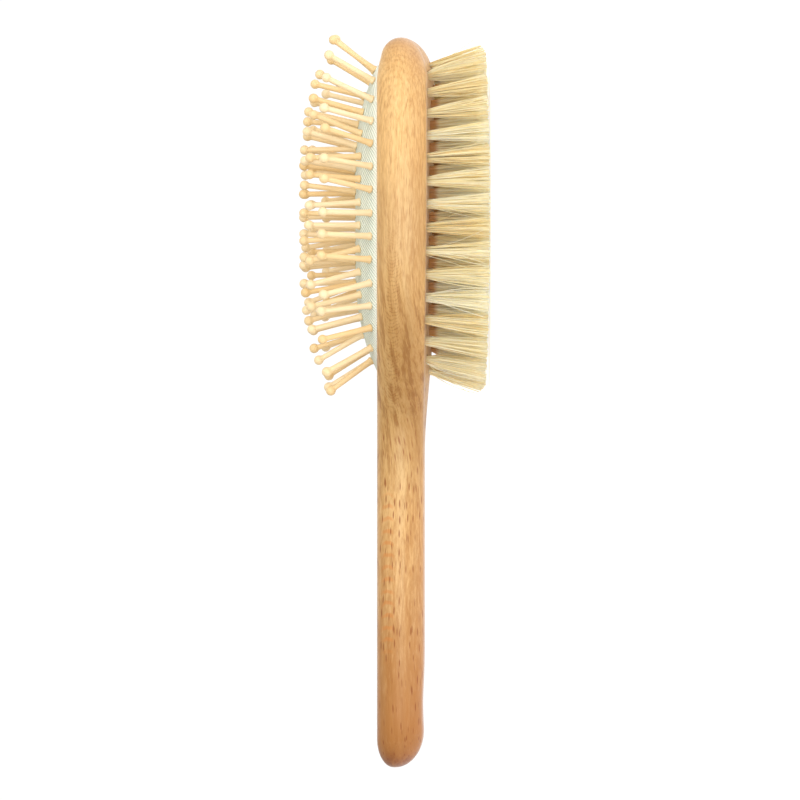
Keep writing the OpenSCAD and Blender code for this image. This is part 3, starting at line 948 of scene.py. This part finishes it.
def trim_z(x):
    """Height of the trimmed tips: the two ends of the field are cut back a little."""
    out = np.abs(x - CUSHION_X)
    return TRIM_RISE * (out / TRIM_L) ** 2 + TRIM_CUT * clamp01((out - TRIM_L) / TRIM_CUT_L) ** 1.5


def one_tuft(p):
    """Centrelines of a tuft's fibres (fibre, step, xyz) and their radii and tones."""
    lean = tuft_lean(p)
    turn = lean_frame((lean[0] * 0.85, lean[1]), down=True)
    root = np.array([CUSHION_X + p[0], p[1], face_z(CUSHION_X + p[0], p[1])])
    i = np.arange(FIBRES)
    angle = i * GOLDEN_ANGLE + RNG.normal(0, 0.25, FIBRES)
    rho = np.sqrt((i + 0.5) / FIBRES)
    base = np.column_stack([np.cos(angle), np.sin(angle)]) * (rho * ROOTS_R)[:, None]
    spread = RNG.uniform(*TIPS_R)
    tip_rho = rho * spread
    tip_angle = angle + RNG.normal(0, 0.2, FIBRES)
    tip = np.column_stack([np.cos(tip_angle), np.sin(tip_angle)]) * tip_rho[:, None]
    # fibres gather in locks
    locks = RNG.integers(6, 10)
    lock_at = np.column_stack([RNG.normal(0, spread * 0.55, locks), RNG.normal(0, spread * 0.55, locks)])
    mine = np.argmin(((tip[:, None] - lock_at[None]) ** 2).sum(-1), 1)
    pull = RNG.uniform(0.0, 0.42, FIBRES)[:, None]
    tip = tip * (1 - pull) + lock_at[mine] * pull + RNG.normal(0, 0.16, (FIBRES, 2))
    # a few stray right across
    stray = RNG.random(FIBRES) < STRAY_SHARE
    tip[stray] = tip[stray] * 1.2 + RNG.normal(0, 2.0, (int(stray.sum()), 2))
    bend = RNG.normal(0, 0.2, (FIBRES, 2)) + stray[:, None] * RNG.normal(0, 0.6, (FIBRES, 2))
    axis = turn[:, 2]
    tip3 = tip @ turn[:, :2].T
    straight = (root[2] + tip3[:, 2]) / -axis[2]
    tip_x = root[0] + axis[0] * straight + tip3[:, 0]
    domed = 0.45 * (np.linalg.norm(tip, axis=1) / spread) ** 2
    ragged = np.abs(RNG.normal(0, 0.2, FIBRES)) + (RNG.random(FIBRES) < 0.16) * RNG.uniform(0, 0.9, FIBRES)
    length = straight - (trim_z(tip_x) + domed + ragged) / -axis[2]
    # the outer tufts near both ends open sooner than the others
    opening = 0.55 if 37.5 < abs(p[0]) < 44 else 0.97
    t = np.linspace(0, 1, FIBRE_STEPS)
    line = np.zeros((FIBRES, FIBRE_STEPS + 1, 3))
    line[:, 0] = root - axis * ROOTS_DEPTH + (base * 0.92) @ turn[:, :2].T
    for k, v in enumerate(t):
        flat = base + (tip - base) * v ** opening + bend * math.sin(math.pi * v)
        line[:, k + 1] = root + axis * (length * v)[:, None] + flat @ turn[:, :2].T
    radius = RNG.uniform(*FIBRE_R, FIBRES)
    tone = clamp01(RNG.beta(1.3, 2.0, FIBRES) + 0.12 * RNG.normal(0, 1))
    return line, radius, tone


def make_tufts():
    for name, places in tuft_sets().items():
        points, faces, tones, along = [], [], [], []
        first = 0
        rings = FIBRE_STEPS + 1
        share = np.concatenate([[0], np.linspace(0, 1, FIBRE_STEPS)])
        taper = 1.0 - FIBRE_TAPER * share
        turn = 2 * math.pi * np.arange(FIBRE_SIDES) / FIBRE_SIDES
        for p in places:
            line, radius, tone = one_tuft(p)
            for f in range(FIBRES):
                d = line[f, -1] - line[f, 1]
                d /= np.linalg.norm(d)
                # square to the fibre, from a direction that no fibre follows
                side = np.cross(d, [1.0, 0.3, 0.1])
                side /= np.linalg.norm(side)
                other = np.cross(d, side)
                ring = (np.cos(turn)[:, None] * side + np.sin(turn)[:, None] * other)
                body = line[f][:, None, :] + ring[None] * (radius[f] * taper)[:, None, None]
                body[-1, :, 2] = np.maximum(body[-1, :, 2], 0.0)
                points.append(body.reshape(-1, 3))
                faces += ring_faces(rings, FIBRE_SIDES, first)
                faces.append(tuple(first + (rings - 1) * FIBRE_SIDES + j for j in range(FIBRE_SIDES)))
                faces.append(tuple(first + j for j in range(FIBRE_SIDES - 1, -1, -1)))
                tones += [tone[f]] * (rings * FIBRE_SIDES)
                along.append(np.repeat(share, FIBRE_SIDES))
                first += rings * FIBRE_SIDES
        piece = new_piece(name.replace("tufts", "fibres"), np.concatenate(points), faces, BRISTLE)
        piece.data.set_sharp_from_angle(angle=math.radians(100))
        add_float(piece, "tone", tones)
        add_float(piece, "along", np.concatenate(along))
        # share of painted root shade: none for the outer and bearing tufts, all for the inner ones
        root_shade = 0.0 if "outer" in name or "bearing" in name else 1.0
        add_float(piece, "root_shade", [root_shade] * len(tones))
        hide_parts(name)


# ---------------------------------------------------------------- build
make_body()
cover = make_canvas()
dome = make_rubber()
make_pins()
make_tufts()
for node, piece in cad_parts.items():
    if node.startswith("staples"):
        piece.data.materials.clear()
        piece.data.materials.append(STAPLE)

# The canvas and the rubber dome each get a mesh of their own
for soft in (cover, dome):
    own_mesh(soft)


# ---------------------------------------------------------------- floor, light and camera
def make_floor():
    m = Nodes("pale_floor")
    grain = m.noise(m.place(), 40, 3.0)
    pale = m.ramp(grain, [(0.3, (0.86, 0.87, 0.89)), (0.7, (0.88, 0.89, 0.91))])
    m.set(Base_Color=pale, Roughness=0.9, Emission_Color=(0.97, 0.98, 1.0, 1), Emission_Strength=0.62)
    mesh = bpy.data.meshes.new("floor")
    half = 2.5
    corners = [(-half, -half, 0), (half, -half, 0), (half, half, 0), (-half, half, 0)]
    mesh.from_pydata(corners, [], [(0, 1, 2, 3)])
    floor = bpy.data.objects.new("floor", mesh)
    mesh.materials.append(m.material)
    bpy.context.scene.collection.objects.link(floor)


def make_light(name, place, target, size, power):
    data = bpy.data.lights.new(name, "AREA")
    data.shape = "SQUARE"
    data.size = size
    data.energy = power
    light = bpy.data.objects.new(name, data)
    light.location = place
    light.rotation_mode = "QUATERNION"
    light.rotation_quaternion = (Vector(target) - Vector(place)).to_track_quat("-Z", "Y")
    bpy.context.scene.collection.objects.link(light)


def make_world():
    world = bpy.data.worlds.new("white_room")
    bpy.context.scene.world = world
    world.use_nodes = True
    tree = world.node_tree
    background = tree.nodes["Background"]
    background.inputs[0].default_value = (1, 1, 1, 1)
    seen = tree.nodes.new("ShaderNodeLightPath")
    strength = tree.nodes.new("ShaderNodeMapRange")
    strength.inputs["To Min"].default_value = 0.52
    strength.inputs["To Max"].default_value = 1.05
    tree.links.new(seen.outputs["Is Camera Ray"], strength.inputs["Value"])
    tree.links.new(strength.outputs[0], background.inputs[1])


def make_camera():
    """Level with the brush at its edge, on its side so that the head points up in the picture."""
    data = bpy.data.cameras.new("camera")
    view_height, distance = 0.2414, 1.25
    data.sensor_width = 36
    data.lens = data.sensor_width * distance / view_height
    data.clip_start, data.clip_end = 0.01, 20
    camera = bpy.data.objects.new("camera", data)
    right, up, back = Vector((0, 0, -1)), Vector((1, 0, 0)), Vector((0, -1, 0))
    turn = Matrix((right, up, back)).transposed().to_4x4()
    camera.matrix_world = Matrix.Translation((0.00075, -distance, 0.0270)) @ turn
    bpy.context.scene.collection.objects.link(camera)
    bpy.context.scene.camera = camera


make_floor()
make_world()
make_light("key", (0.32, -0.40, 0.42), (0, 0, 0.025), 0.5, 1.9)
make_light("front", (0.06, -1.2, 0.05), (0, 0, 0.025), 0.3, 5.4)
make_light("back", (0.10, 0.95, 0.60), (0, 0, 0.03), 0.8, 2.0)
make_camera()
bpy.context.scene.view_settings.view_transform = "Standard"
